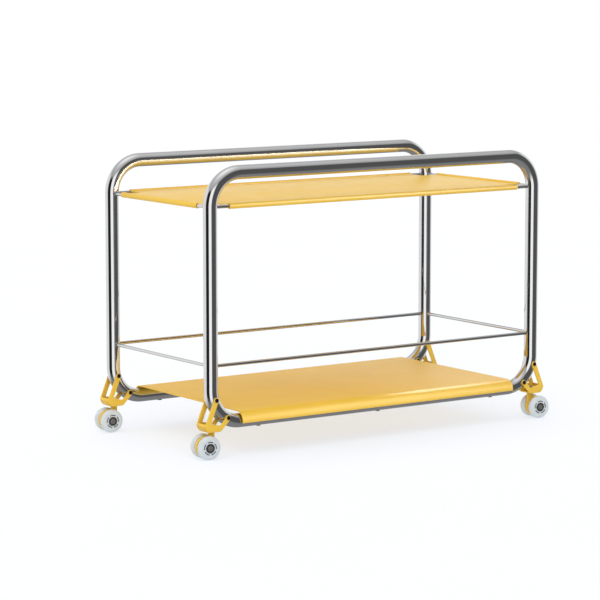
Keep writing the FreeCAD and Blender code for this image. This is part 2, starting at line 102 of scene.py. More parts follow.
class TrolleySizes(bpy.types.PropertyGroup):
    """Sizes of the trolley's pieces."""
    tube: length("Tube", "Outside diameter of the loops' tube", tube_default)
    bend: length("Bend", "Radius of the loops' bends at the tube's centreline", 74 * MM)
    rod: length("Rod", "Diameter of the shelf rods and guard rails", rod_default)
    sheet: length("Sheet", "Thickness of both shelves", 2 * MM)
    hem_gap: length("Hem gap", "Room between a shelf rod and its hem", 0.2 * MM)
    roll_gap: length("Roll gap", "Room between the tube and the lower shelf's rolled edge", 4 * MM)
    notch: length("Notch", "Corner notch of the upper shelf, from the uprights' centrelines", 49 * MM)
    sheet_drop: length("Sheet drop", "How far the upper shelf's sheet lies below its hems' tops", 4 * MM)
    weld: length("Weld", "How far the weld stands out round a rod's end", 0.9 * MM)
    edge: length("Edge", "Rounding of the sheet's edges", 0.35 * MM)
    wheel: length("Wheel", "Diameter of a wheel", wheel_default)
    wheel_width: length("Wheel width", "Width of a wheel", 16 * MM)
    bolt_head: length("Bolt head", "Diameter of the bracket bolts' heads", 9.4 * MM)


class TrolleyColours(bpy.types.PropertyGroup):
    """Colours of the trolley's finishes."""
    paint: colour("Paint", "Yellow powder coat", (0.84, 0.53, 0.065))
    chrome: colour("Chrome", "Chrome plate", (0.62, 0.62, 0.63))
    urethane: colour("Urethane", "Cast wheel material", (0.63, 0.675, 0.685))
    seal: colour("Seal", "Bearing seals and the wheels' ring marks", (0.035, 0.038, 0.042))
    steel: colour("Steel", "Ground and zinc plated steel", (0.60, 0.60, 0.58))
    black: colour("Black", "Black oxide on the bolts", (0.018, 0.017, 0.016))
    plastic: colour("Plastic", "Bushes, plugs and spacers", (0.06, 0.06, 0.062))
    floor: colour("Floor", "Studio floor", (0.36, 0.34, 0.33))


# Materials

class Finish:
    """One procedural material: its shader, and patterns in the object's own space that vary it."""

    def __init__(self, name, tint, metallic=0.0):
        self.material = bpy.data.materials.new(name)
        self.material.use_nodes = True
        self.tree = self.material.node_tree
        self.shader = self.tree.nodes["Principled BSDF"]
        self.tint = tint
        self.shader.inputs["Base Color"].default_value = (*tint, 1)
        self.shader.inputs["Metallic"].default_value = metallic
        self.place = self.tree.nodes.new("ShaderNodeTexCoord").outputs["Object"]
        self.normal = None

    def noise(self, scale, detail=2.0, stretch=(1, 1, 1)):
        """Clouds, finer as scale grows, drawn out where stretch is small."""
        mapping = self.tree.nodes.new("ShaderNodeMapping")
        mapping.inputs["Scale"].default_value = stretch
        pattern = self.tree.nodes.new("ShaderNodeTexNoise")
        pattern.inputs["Scale"].default_value = scale
        pattern.inputs["Detail"].default_value = detail
        self.tree.links.new(self.place, mapping.inputs["Vector"])
        self.tree.links.new(mapping.outputs["Vector"], pattern.inputs["Vector"])
        return pattern.outputs["Fac"]

    def spread(self, pattern, low, high):
        """Maps a pattern's usual range onto low to high."""
        node = self.tree.nodes.new("ShaderNodeMapRange")
        for socket, value in (("From Min", 0.3), ("From Max", 0.7), ("To Min", low), ("To Max", high)):
            node.inputs[socket].default_value = value
        self.tree.links.new(pattern, node.inputs["Value"])
        return node.outputs["Result"]

    def colours(self, pattern, darker, lighter):
        """Lets the tint wander between two shares of itself."""
        mix = self.tree.nodes.new("ShaderNodeMix")
        mix.data_type = "RGBA"
        sockets = [s for s in mix.inputs if s.type == "RGBA"]
        sockets[0].default_value = (*(c * darker for c in self.tint), 1)
        sockets[1].default_value = (*(min(c * lighter, 1) for c in self.tint), 1)
        self.tree.links.new(self.spread(pattern, 0, 1), mix.inputs["Factor"])
        result = [s for s in mix.outputs if s.type == "RGBA"][0]
        self.tree.links.new(result, self.shader.inputs["Base Color"])

    def roughness(self, pattern, low, high):
        self.tree.links.new(self.spread(pattern, low, high), self.shader.inputs["Roughness"])

    def smoother_bends(self, roughness):
        """Gives the surface another roughness where it bends away from level, as at a sheet's edges."""
        facing = self.tree.nodes.new("ShaderNodeSeparateXYZ")
        level = self.tree.nodes.new("ShaderNodeMapRange")
        level.inputs["From Min"].default_value = BENT_FACING
        level.inputs["From Max"].default_value = LEVEL_FACING
        mix = self.tree.nodes.new("ShaderNodeMix")
        mix.inputs["A"].default_value = roughness
        rough = self.shader.inputs["Roughness"].links[0].from_socket
        self.tree.links.new(self.place.node.outputs["Normal"], facing.inputs["Vector"])
        self.tree.links.new(facing.outputs["Z"], level.inputs["Value"])
        self.tree.links.new(level.outputs["Result"], mix.inputs["Factor"])
        self.tree.links.new(rough, mix.inputs["B"])
        self.tree.links.new(mix.outputs["Result"], self.shader.inputs["Roughness"])

    def bump(self, pattern, height):
        """Raises the surface by height where the pattern is light."""
        node = self.tree.nodes.new("ShaderNodeBump")
        node.inputs["Strength"].default_value = 1.0
        node.inputs["Distance"].default_value = height
        self.tree.links.new(pattern, node.inputs["Height"])
        if self.normal:
            self.tree.links.new(self.normal, node.inputs["Normal"])
        self.normal = node.outputs["Normal"]
        self.tree.links.new(self.normal, self.shader.inputs["Normal"])


def chrome_plate(colours):
    finish = Finish("chrome_plate", colours.chrome, metallic=1.0)
    finish.colours(finish.noise(14), 0.97, 1.02)
    finish.roughness(finish.noise(60, 4), 0.035, 0.075)
    finish.bump(finish.noise(45, 1), 0.03 * MM)
    return finish.material


def powder_coat(name, colours, smoothest, roughest, shine):
    finish = Finish(name, colours.paint)
    finish.colours(finish.noise(9, 3), 0.975, 1.02)
    finish.roughness(finish.noise(35, 3), smoothest, roughest)
    finish.bump(finish.noise(620, 2), 0.02 * MM)
    finish.bump(finish.noise(2600, 1), 0.006 * MM)
    finish.shader.inputs["Specular IOR Level"].default_value = shine
    return finish


def yellow_paint(colours):
    return powder_coat("yellow_paint", colours, 0.34, 0.42, 0.25).material


def dull_yellow_paint(colours):
    finish = powder_coat("dull_yellow_paint", colours, 0.50, 0.58, 0.2)
    finish.smoother_bends(0.34)
    return finish.material


def white_urethane(colours):
    finish = Finish("white_urethane", colours.urethane)
    finish.colours(finish.noise(120, 3), 0.97, 1.02)
    finish.roughness(finish.noise(260, 3), 0.30, 0.42)
    finish.bump(finish.noise(700, 2), 0.012 * MM)
    finish.shader.inputs["Subsurface Weight"].default_value = 0.12
    finish.shader.inputs["Subsurface Radius"].default_value = (0.004, 0.004, 0.004)
    finish.shader.inputs["Subsurface Scale"].default_value = 0.5
    return finish.material


def printed_mark(colours):
    finish = Finish("printed_mark", colours.seal)
    finish.colours(finish.noise(400, 2), 0.85, 1.15)
    finish.roughness(finish.noise(500, 2), 0.4, 0.55)
    return finish.material


def bearing_seal(colours):
    finish = Finish("bearing_seal", colours.seal)
    finish.colours(finish.noise(300, 3), 0.8, 1.25)
    finish.roughness(finish.noise(500, 2), 0.38, 0.55)
    finish.bump(finish.noise(1500, 2), 0.006 * MM)
    return finish.material


def ground_steel(colours):
    finish = Finish("ground_steel", colours.steel, metallic=1.0)
    finish.colours(finish.noise(250, 3), 0.94, 1.03)
    finish.roughness(finish.noise(900, 3, (1, 0.05, 1)), 0.18, 0.34)
    finish.bump(finish.noise(1800, 2, (1, 0.05, 1)), 0.004 * MM)
    return finish.material


def zinc_plate(colours):
    finish = Finish("zinc_plate", colours.steel, metallic=1.0)
    finish.colours(finish.noise(180, 4), 0.86, 1.05)
    finish.roughness(finish.noise(320, 4), 0.28, 0.46)
    finish.bump(finish.noise(1400, 3), 0.006 * MM)
    return finish.material


def black_oxide(colours):
    finish = Finish("black_oxide", colours.black, metallic=0.5)
    finish.colours(finish.noise(350, 3), 0.8, 1.3)
    finish.roughness(finish.noise(700, 3), 0.30, 0.48)
    finish.bump(finish.noise(1600, 3), 0.006 * MM)
    return finish.material


def dark_steel(colours):
    finish = Finish("dark_steel", [c * 16 for c in colours.black], metallic=0.7)
    finish.colours(finish.noise(300, 3), 0.85, 1.2)
    finish.roughness(finish.noise(800, 3), 0.30, 0.45)
    finish.bump(finish.noise(1600, 3), 0.006 * MM)
    return finish.material


def grey_plastic(colours):
    finish = Finish("grey_plastic", colours.plastic)
    finish.colours(finish.noise(150, 3), 0.9, 1.12)
    finish.roughness(finish.noise(500, 3), 0.45, 0.6)
    finish.bump(finish.noise(2200, 2), 0.01 * MM)
    return finish.material


def floor_paint(colours):
    finish = Finish("floor_paint", colours.floor)
    finish.roughness(finish.noise(3, 2), 0.75, 0.85)
    finish.shader.inputs["Specular IOR Level"].default_value = 0.1
    finish.shader.inputs["Emission Color"].default_value = (0.585, 0.635, 0.695, 1)
    finish.shader.inputs["Emission Strength"].default_value = 1.0
    return finish.material


RECIPES = {
    "chrome": chrome_plate, "paint": yellow_paint, "dull_paint": dull_yellow_paint,
    "urethane": white_urethane, "mark": printed_mark, "seal": bearing_seal, "steel": ground_steel,
    "zinc": zinc_plate, "black": black_oxide, "dark_steel": dark_steel, "plastic": grey_plastic,
    "floor": floor_paint,
}
made_materials = {}


def finish_of(key):
    """The material of that name, made at its first use."""
    if key not in made_materials:
        made_materials[key] = RECIPES[key](bpy.context.scene.trolley_colours)
    return made_materials[key]


# Modelling steps

def sizes():
    return bpy.context.scene.trolley_sizes


def deselect():
    if bpy.context.object and bpy.context.object.mode == "EDIT":
        bpy.ops.object.mode_set(mode="OBJECT")
    bpy.ops.object.select_all(action="DESELECT")


def pick(*pieces):
    """Selects these objects only; the last is the active one."""
    deselect()
    for piece in pieces:
        piece.select_set(True)
        bpy.context.view_layer.objects.active = piece


def edit(piece):
    """Opens one piece in edit mode with nothing selected."""
    pick(piece)
    bpy.ops.object.mode_set(mode="EDIT")
    bpy.ops.mesh.select_all(action="DESELECT")


def select_edges(piece, wanted):
    """In edit mode, selects the edges for which wanted(middle, ends) is true."""
    bpy.ops.mesh.select_mode(type="EDGE")
    bpy.ops.mesh.select_all(action="DESELECT")
    bpy.ops.object.mode_set(mode="OBJECT")
    points = piece.data.vertices
    for edge in piece.data.edges:
        ends = [points[i].co for i in edge.vertices]
        edge.select = wanted((ends[0] + ends[1]) / 2, ends)
    bpy.ops.object.mode_set(mode="EDIT")


def close(piece, angle=40):
    """Merges doubles, turns all faces outwards and shades the piece smooth below an angle."""
    edit(piece)
    bpy.ops.mesh.select_all(action="SELECT")
    bpy.ops.mesh.remove_doubles(threshold=0.001 * MM)
    bpy.ops.mesh.normals_make_consistent(inside=False)
    bpy.ops.object.mode_set(mode="OBJECT")
    bpy.ops.object.shade_smooth_by_angle(angle=math.radians(angle))


def apply(piece, kind, **values):
    """Adds a modifier with these values and applies it."""
    pick(piece)
    modifier = piece.modifiers.new(kind.lower(), kind)
    for name, value in values.items():
        setattr(modifier, name, value)
    bpy.ops.object.modifier_apply(modifier=modifier.name)


def round_edges(piece, width, segments=2, angle=35):
    apply(piece, "BEVEL", width=width, segments=segments, limit_method="ANGLE",
          angle_limit=math.radians(angle), harden_normals=False)


def cut(piece, tool):
    """Cuts a tool's shape out of a piece and removes the tool."""
    apply(piece, "BOOLEAN", object=tool, operation="DIFFERENCE", solver="EXACT")
    bpy.data.objects.remove(tool)


def duplicate(piece, name):
    """A copy of a piece with its own mesh."""
    pick(piece)
    bpy.ops.object.duplicate(linked=False)
    copy = bpy.context.object
    copy.name = name
    copy.data.name = name
    return copy


def set_place(piece, matrix):
    """Moves a piece by a matrix and puts that into its mesh."""
    pick(piece)
    piece.matrix_world = matrix
    bpy.ops.object.transform_apply(location=True, rotation=True, scale=True)
    if matrix.determinant() < 0:
        edit(piece)
        bpy.ops.mesh.select_all(action="SELECT")
        bpy.ops.mesh.normals_make_consistent(inside=False)
        bpy.ops.object.mode_set(mode="OBJECT")


def stand(place, axis):
    """Matrix that moves a piece, with its own Z along an axis and its own Y as upright as can be."""
    forward = axis.normalized()
    upward = Z if abs(forward.z) < 0.9 else Y
    across = upward.cross(forward).normalized()
    turn = Matrix((across, forward.cross(across), forward)).transposed()
    return Matrix.Translation(place) @ turn.to_4x4()


def join(name, pieces):
    """Several like pieces as one object."""
    pick(*pieces)
    if len(pieces) > 1:
        bpy.ops.object.join()
    joined = bpy.context.object
    joined.name = name
    joined.data.name = name
    return joined


def repeat(name, model, places):
    """One object that holds a copy of the model at every place; the model goes."""
    copies = []
    for number, matrix in enumerate(places):
        copy = duplicate(model, "%s_%d" % (name, number))
        set_place(copy, matrix)
        copies.append(copy)
    bpy.data.objects.remove(model)
    return join(name, copies)


def clothe(piece, *keys):
    """Gives a piece its materials, in the order of their slots."""
    piece.data.materials.clear()
    for key in keys:
        piece.data.materials.append(finish_of(key))


def settle(piece, body, slot, *nodes):
    """Hands a finished piece to its body and hides the nodes that it stands for. The slot argument is not
    used.
    """
    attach(piece, body)
    if nodes:
        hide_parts(*nodes)


def profile(name, points):
    """A bare line of edges in the XZ plane from (distance from the axis, height) points."""
    deselect()
    bpy.ops.mesh.primitive_plane_add(size=MM)
    piece = bpy.context.object
    piece.name = name
    piece.data.name = name
    bpy.ops.object.mode_set(mode="EDIT")
    bpy.ops.mesh.select_mode(type="VERT")
    bpy.ops.mesh.select_all(action="SELECT")
    bpy.ops.mesh.merge(type="CENTER")
    bpy.ops.transform.translate(value=(points[0][0], 0, points[0][1]))
    for (r0, z0), (r1, z1) in zip(points, points[1:]):
        bpy.ops.mesh.extrude_vertices_move(TRANSFORM_OT_translate={"value": (r1 - r0, 0, z1 - z0)})
    return piece


def turned(name, points, segments=64, angle=40):
    """A round piece about Z, its outline spun once round and closed."""
    piece = profile(name, points)
    bpy.ops.mesh.select_all(action="SELECT")
    bpy.ops.mesh.spin(steps=segments, angle=2 * math.pi, center=(0, 0, 0), axis=(0, 0, 1))
    bpy.ops.object.mode_set(mode="OBJECT")
    close(piece, angle)
    return piece


def arc(centre_r, centre_z, radius, start, end, steps):
    """Outline points round a centre, angles in degrees from the outward direction."""
    points = []
    for step in range(steps + 1):
        angle = math.radians(start + (end - start) * step / steps)
        points.append((centre_r + radius * math.cos(angle), centre_z + radius * math.sin(angle)))
    return points


def socket_tool(flats, depth, top):
    """A hexagonal bit that reaches down into a head from its top."""
    deselect()
    bpy.ops.mesh.primitive_cylinder_add(vertices=6, radius=flats / math.sqrt(3), depth=2 * depth,
                                        location=(0, 0, top))
    return bpy.context.object


def dressed_copy(name, node, rounding):
    """A merged copy of a CAD node with its sharp edges rounded."""
    copy = duplicate(frame["nodes"][node], name)
    copy.parent = None
    for key in list(copy.keys()):
        del copy[key]
    if copy.data.has_custom_normals:
        bpy.ops.mesh.customdata_custom_splitnormals_clear()
    edit(copy)
    bpy.ops.mesh.select_all(action="SELECT")
    bpy.ops.mesh.remove_doubles(threshold=0.002 * MM)
    bpy.ops.mesh.dissolve_limited(angle_limit=math.radians(1))
    bpy.ops.object.mode_set(mode="OBJECT")
    round_edges(copy, rounding)
    bpy.ops.object.shade_smooth_by_angle(angle=math.radians(30))
    return copy


# Frame pieces

class TROLLEY_OT_tube_loops(bpy.types.Operator):
    """Models the two closed loops of bent tube"""
    bl_idname = "trolley.tube_loops"
    bl_label = "Tube loops"

    def execute(self, context):
        tube = sizes().tube
        bend = sizes().bend
        centre_y = (loop_low.y + loop_high.y) / 2
        left, right = loop_low.x + tube / 2, loop_high.x - tube / 2
        low, high = loop_low.z + tube / 2, loop_high.z - tube / 2
        corners = [(Vector((right - bend, centre_y, low + bend)), Z * (high - low - 2 * bend)),
                   (Vector((right - bend, centre_y, high - bend)), X * (left - right + 2 * bend)),
                   (Vector((left + bend, centre_y, high - bend)), Z * (low - high + 2 * bend)),
                   (Vector((left + bend, centre_y, low + bend)), X * (right - left - 2 * bend))]
        deselect()
        bpy.ops.mesh.primitive_circle_add(vertices=64, radius=tube / 2, rotation=(0, math.pi / 2, 0),
                                          location=(right - bend, centre_y, low))
        loop = bpy.context.object
        bpy.ops.object.transform_apply(location=True, rotation=True, scale=True)
        bpy.ops.object.mode_set(mode="EDIT")
        bpy.ops.mesh.select_all(action="SELECT")
        for centre, straight in corners:
            bpy.ops.mesh.spin(steps=36, angle=math.pi / 2, center=centre, axis=Y)
            bpy.ops.mesh.extrude_edges_move(TRANSFORM_OT_translate={"value": straight})
        close(loop, 60)
        clothe(loop, "chrome")
        loop.name = "tube_loop_front"
        other = duplicate(loop, "tube_loop_back")
        set_place(other, Matrix.Translation((0, -2 * centre_y, 0)))
        settle(loop, "frame", "chrome_tube", "front_loop")
        settle(other, "frame", "chrome_tube", "back_loop")
        return {"FINISHED"}


def welded_rod(name, node):
    """A rod between two uprights of one loop, with a small round weld at each end."""
    low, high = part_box(node)
    radius = sizes().rod / 2
    weld = sizes().weld
    half = (high.x - low.x) / 2
    into_tube, collar = 1.2 * MM, 0.2 * MM
    outline = [(0, half + into_tube), (radius + weld, half + into_tube), (radius + weld, half - collar)]
    outline += arc(radius + weld, half - collar - 1.3 * weld, weld, 90, 180, 6)
    mirrored = [(r, -z) for r, z in reversed(outline)]
    rod = turned(name, outline + mirrored, 40)
    set_place(rod, stand(Vector((0, (low.y + high.y) / 2, (low.z + high.z) / 2)), X))
    clothe(rod, "chrome")
    settle(rod, "frame", "chrome_rod", node)


def screwed_rod(name, node):
    """A rod from loop to loop, its shouldered ends screwed into inserts."""
    low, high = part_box(node)
    radius = sizes().rod / 2
    thread_length, thread, chamfer = 12 * MM, 2.45 * MM, 0.5 * MM
    shoulder = high.y - thread_length
    outline = [(0, high.y), (thread - chamfer, high.y), (thread, high.y - chamfer), (thread, shoulder),
               (radius - chamfer, shoulder), (radius, shoulder - chamfer)]
    mirrored = [(r, -z) for r, z in reversed(outline)]
    rod = turned(name, outline + mirrored, 40)
    set_place(rod, stand(Vector(((low.x + high.x) / 2, 0, (low.z + high.z) / 2)), Y))
    clothe(rod, "chrome")
    settle(rod, "frame", "chrome_rod", node)


class TROLLEY_OT_rods(bpy.types.Operator):
    """Models the shelf rods, the guard rails and the inserts they are screwed into"""
    bl_idname = "trolley.rods"
    bl_label = "Rods and rails"

    def execute(self, context):
        for kind in ("shelf_rod", "guard_rail"):
            for side in ("front", "back"):
                welded_rod("%s_%s_piece" % (kind, side), "%s_%s" % (kind, side))
            for side in ("left", "right"):
                screwed_rod("%s_%s_piece" % (kind, side), "%s_%s" % (kind, side))
        collar, barrel, chamfer = 4.8 * MM, 3.5 * MM, 0.3 * MM
        outside, inside, end = 0.8 * MM, -1.5 * MM, -9 * MM
        bore = 2.5 * MM
        insert = turned("rod_insert_model", [
            (bore, end), (barrel, end), (barrel, inside), (collar, inside), (collar, outside - chamfer),
            (collar - chamfer, outside), (bore, outside), (bore, end)], 48)
        inner_face = min(abs(loop_low.y), abs(loop_high.y))
        places = []
        for node in ("shelf_rod_left", "guard_rail_left", "shelf_rod_right", "guard_rail_right"):
            low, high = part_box(node)
            for side in (-1, 1):
                place = Vector(((low.x + high.x) / 2, side * inner_face, (low.z + high.z) / 2))
                places.append(stand(place, Y * -side))
        inserts = repeat("rod_insert_collars", insert, places)
        clothe(inserts, "chrome")
        settle(inserts, "frame", "zinc_steel", "rod_inserts")
        return {"FINISHED"}


# Shelves

def curl_edges(piece, side_axis, side, reach, centre, angle):
    """Spins the edges at one side's reach outwards and down round a line."""
    select_edges(piece, lambda middle, ends: all(abs(end[side_axis] - side * reach) < NEAR for end in ends))
    along = Y if side_axis == 0 else X
    sign = -side if side_axis == 0 else side
    steps = max(12, int(math.degrees(angle) / 6))
    bpy.ops.mesh.spin(steps=steps, angle=sign * angle, center=centre, axis=along)


class TROLLEY_OT_upper_shelf(bpy.types.Operator):
    """Models the upper shelf: a shallow tray whose notched sheet hangs from a hem round each shelf rod"""
    bl_idname = "trolley.upper_shelf"
    bl_label = "Upper shelf"

    def execute(self, context):
        sheet, notch = sizes().sheet, sizes().notch
        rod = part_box("shelf_rod_left")
        rod_x = abs(rod[0].x + rod[1].x) / 2
        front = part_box("shelf_rod_front")
        rod_y = abs(front[0].y + front[1].y) / 2
        rod_z = (rod[0].z + rod[1].z) / 2
        hem = sizes().rod / 2 + sizes().hem_gap + sheet / 2
        rise = hem - sizes().sheet_drop
        inset = math.sqrt(hem ** 2 - rise ** 2)
        past_outside = math.radians(122)
        wrap = math.pi - math.asin(rise / hem) + past_outside
        deselect()
        bpy.ops.mesh.primitive_plane_add(size=2, location=(0, 0, rod_z + rise))
        shelf = bpy.context.object
        shelf.scale = (rod_x - notch, rod_y - notch, 1)
        bpy.ops.object.transform_apply(location=True, rotation=True, scale=True)
        edit(shelf)
        for axis, reach in ((0, rod_x - notch), (1, rod_y - notch)):
            for side in (-1, 1):
                select_edges(shelf, lambda middle, ends: abs(middle[axis] - side * reach) < NEAR
                             and abs(middle[1 - axis]) < NEAR)
                step = (X if axis == 0 else Y) * side * (notch - inset)
                bpy.ops.mesh.extrude_edges_move(TRANSFORM_OT_translate={"value": step})
        for side in (-1, 1):
            curl_edges(shelf, 0, side, rod_x - inset, (side * rod_x, 0, rod_z), wrap)
            curl_edges(shelf, 1, side, rod_y - inset, (0, side * rod_y, rod_z), wrap)
        close(shelf)
        apply(shelf, "SOLIDIFY", thickness=sheet, offset=0, use_even_offset=True)
        round_edges(shelf, sizes().edge)
        bpy.ops.object.shade_smooth_by_angle(angle=math.radians(30))
        shelf.name = "upper_shelf_sheet"
        clothe(shelf, "paint")
        settle(shelf, "frame", "yellow_sheet", "upper_shelf")
        return {"FINISHED"}


class TROLLEY_OT_lower_shelf(bpy.types.Operator):
    """Models the lower shelf: a sheet with its long edges rolled over the tubes"""
    bl_idname = "trolley.lower_shelf"
    bl_label = "Lower shelf"

    def execute(self, context):
        sheet = sizes().sheet
        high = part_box("lower_shelf")[1]
        tube_y = abs(loop_low.y + loop_high.y) / 2
        roll = sizes().tube / 2 + sizes().roll_gap + sheet / 2
        level = high.z - sheet / 2
        wrap = math.radians(100)
        deselect()
        bpy.ops.mesh.primitive_plane_add(size=2, location=(0, 0, level))
        shelf = bpy.context.object
        shelf.scale = (high.x, tube_y, 1)
        bpy.ops.object.transform_apply(location=True, rotation=True, scale=True)
        edit(shelf)
        for side in (-1, 1):
            curl_edges(shelf, 1, side, tube_y, (0, side * tube_y, level - roll), wrap)
        close(shelf)
        apply(shelf, "SOLIDIFY", thickness=sheet, offset=0, use_even_offset=True)
        round_edges(shelf, sizes().edge)
        bpy.ops.object.shade_smooth_by_angle(angle=math.radians(30))
        shelf.name = "lower_shelf_sheet"
        clothe(shelf, "dull_paint")
        settle(shelf, "frame", "yellow_sheet", "lower_shelf")
        return {"FINISHED"}


# Brackets and their fasteners

def bolt_places():
    """Centres of the eight bracket bolts, at two angles down each bend's centreline."""
    bend = sizes().bend
    upper_angle, lower_angle = math.radians(16.2), math.radians(57.3)
    upright_x = loop_high.x - sizes().tube / 2
    loop_y = abs(loop_low.y + loop_high.y)
    foot = loop_low.z + sizes().tube / 2
    places = []
    for x_side, y_side in CORNERS.values():
        corner = Vector((x_side * upright_x, y_side * loop_y / 2, foot))
        for angle in (upper_angle, lower_angle):
            inward, rise = bend * (1 - math.cos(angle)), bend * (1 - math.sin(angle))
            places.append(corner + Vector((-x_side * inward, 0, rise)))
    return places


def socket_head(name, radius, height, shank, shank_length, flats):
    """A low round head on a shank, with a hexagon socket; its seat is at height 0."""
    edge, socket_depth = height * 0.5, height * 0.7
    chamfer, rounding = 0.2 * MM, 0.12 * MM
    outline = [(0, -shank_length), (shank, -shank_length), (shank, 0), (radius - chamfer, 0)]
    outline += [(radius, chamfer)] + arc(radius - edge, height - edge, edge, 0, 90, 6) + [(0, height)]
    head = turned(name, outline, 56)
    cut(head, socket_tool(flats, socket_depth, height))
    round_edges(head, rounding, 1, 50)
    bpy.ops.object.shade_smooth_by_angle(angle=math.radians(35))
    return head


class TROLLEY_OT_brackets(bpy.types.Operator):
    """Models the folded caster brackets and the bolts that hold them"""
    bl_idname = "trolley.brackets"
    bl_label = "Caster brackets"

    def execute(self, context):
        fold_edge = 0.35 * MM
        for place in CORNERS:
            bracket = dressed_copy("bracket_" + place, "caster_bracket_" + place, fold_edge)
            clothe(bracket, "paint")
            settle(bracket, "frame", "yellow_bracket", "caster_bracket_" + place)
        low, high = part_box("caster_bracket_front_left")
        half_width = (high.y - low.y) / 2
        head, head_height = sizes().bolt_head / 2, 2.2 * MM
        sleeve, sleeve_length, flats = 3.3 * MM, 5 * MM, 3 * MM
        for node, direction in (("bracket_bolts", -1), ("bracket_sleeve_nuts", 1)):
            model = socket_head(node + "_model", head, head_height, sleeve, sleeve_length, flats)
            places = [stand(point + Y * direction * half_width, Y * direction) for point in bolt_places()]
            group = repeat(node + "_heads", model, places)
            clothe(group, "black")
            settle(group, "frame", "black_steel", node)
        return {"FINISHED"}


# Casters

class TROLLEY_OT_swivels(bpy.types.Operator):
    """Models the casters' tongues and the flanged bushes they turn in"""
    bl_idname = "trolley.swivels"
    bl_label = "Caster swivels"

    def execute(self, context):
        tongue_edge = 0.6 * MM
        for place in CORNERS:
            tongue = dressed_copy("tongue_" + place, "caster_tongue_" + place, tongue_edge)
            clothe(tongue, "paint")
            settle(tongue, "swivel_" + place, "yellow_bracket", "caster_tongue_" + place)
        low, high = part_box("swivel_bushings")
        collar, barrel, bore, chamfer = 9 * MM, 7 * MM, 5.05 * MM, 0.25 * MM
        thickness, tall = 1.2 * MM, high.z - low.z
        model = turned("bush_model", [
            (bore, 0), (collar - chamfer, 0), (collar, chamfer), (collar, thickness), (barrel, thickness),
            (barrel, tall - chamfer), (barrel - chamfer, tall), (bore, tall), (bore, 0)], 56)
        places = [Matrix.Translation((joint["pos_m"][0], joint["pos_m"][1], low.z)) for joint in swivels]
        bushes = repeat("swivel_bushes", model, places)
        clothe(bushes, "plastic")
        settle(bushes, "frame", "grey_plastic", "swivel_bushings")
        return {"FINISHED"}


def wheel_model():
    """A cast wheel about Z: fully rounded tread, bearing seats and a ring of printed marks on each face."""
    within_box = 0.01 * MM
    outer, half = sizes().wheel / 2 - within_box, sizes().wheel_width / 2
    seat, bore, middle = 11 * MM, 9 * MM, 0.8 * MM
    lip, chamfer = 1.6 * MM, 0.35 * MM
    mark_inner, mark_outer = 13.1 * MM, 15.3 * MM
    print_level, tread_level = half - chamfer * 0.6, half - chamfer * 0.5
    rim = 1.2 * MM
    face = [(bore, 0), (bore, middle), (seat, middle), (seat, half - chamfer), (seat + chamfer, half),
            (seat + lip, half), (seat + lip + chamfer, print_level), (mark_inner, print_level),
            (mark_outer, print_level), (mark_outer + rim, tread_level)]
    crown = outer - half
    tread = arc(crown, 0, half, 88, 0, 18)
    upper = face + tread
    lower = [(r, -z) for r, z in reversed(upper)]
    model = turned("wheel_model", upper + lower[1:], 120, 35)
    clothe(model, "urethane", "mark")
    marks, share = 5, 0.72
    for polygon in model.data.polygons:
        centre = polygon.center
        radius = math.hypot(centre.x, centre.y)
        turn = (math.degrees(math.atan2(centre.x, centre.y)) / 360 * marks + 0.5) % 1
        in_ring = mark_inner < radius < mark_outer and abs(centre.z) > half / 2
        if in_ring and abs(turn - 0.5) < share / 2:
            polygon.material_index = 1
    return model


def bearing_model():
    """A sealed ball bearing about Z, centred: two ground rings with a dark seal between them on each face."""
    outside, bore, half = 11 * MM, 4.03 * MM, 3.5 * MM
    seal_outer, seal_inner, seal_depth, chamfer = 8.8 * MM, 6.1 * MM, 0.4 * MM, 0.3 * MM
    inner_slope, outer_slope, margin = 1.1 * MM, 0.8 * MM, 0.1 * MM
    seal_level = half - seal_depth * 0.6
    upper = [(bore, 0), (bore, half - chamfer), (bore + chamfer, half), (seal_inner, half),
             (seal_inner, half - seal_depth), (seal_inner + inner_slope, seal_level),
             (seal_outer - outer_slope, seal_level), (seal_outer, half - seal_depth), (seal_outer, half),
             (outside - chamfer, half), (outside, half - chamfer), (outside, 0)]
    lower = [(r, -z) for r, z in reversed(upper)]
    model = turned("bearing_model", upper + lower[1:], 72, 35)
    clothe(model, "steel", "seal")
    for polygon in model.data.polygons:
        radius = math.hypot(polygon.center.x, polygon.center.y)
        if seal_inner - margin < radius < seal_outer + margin:
            polygon.material_index = 1
    return model


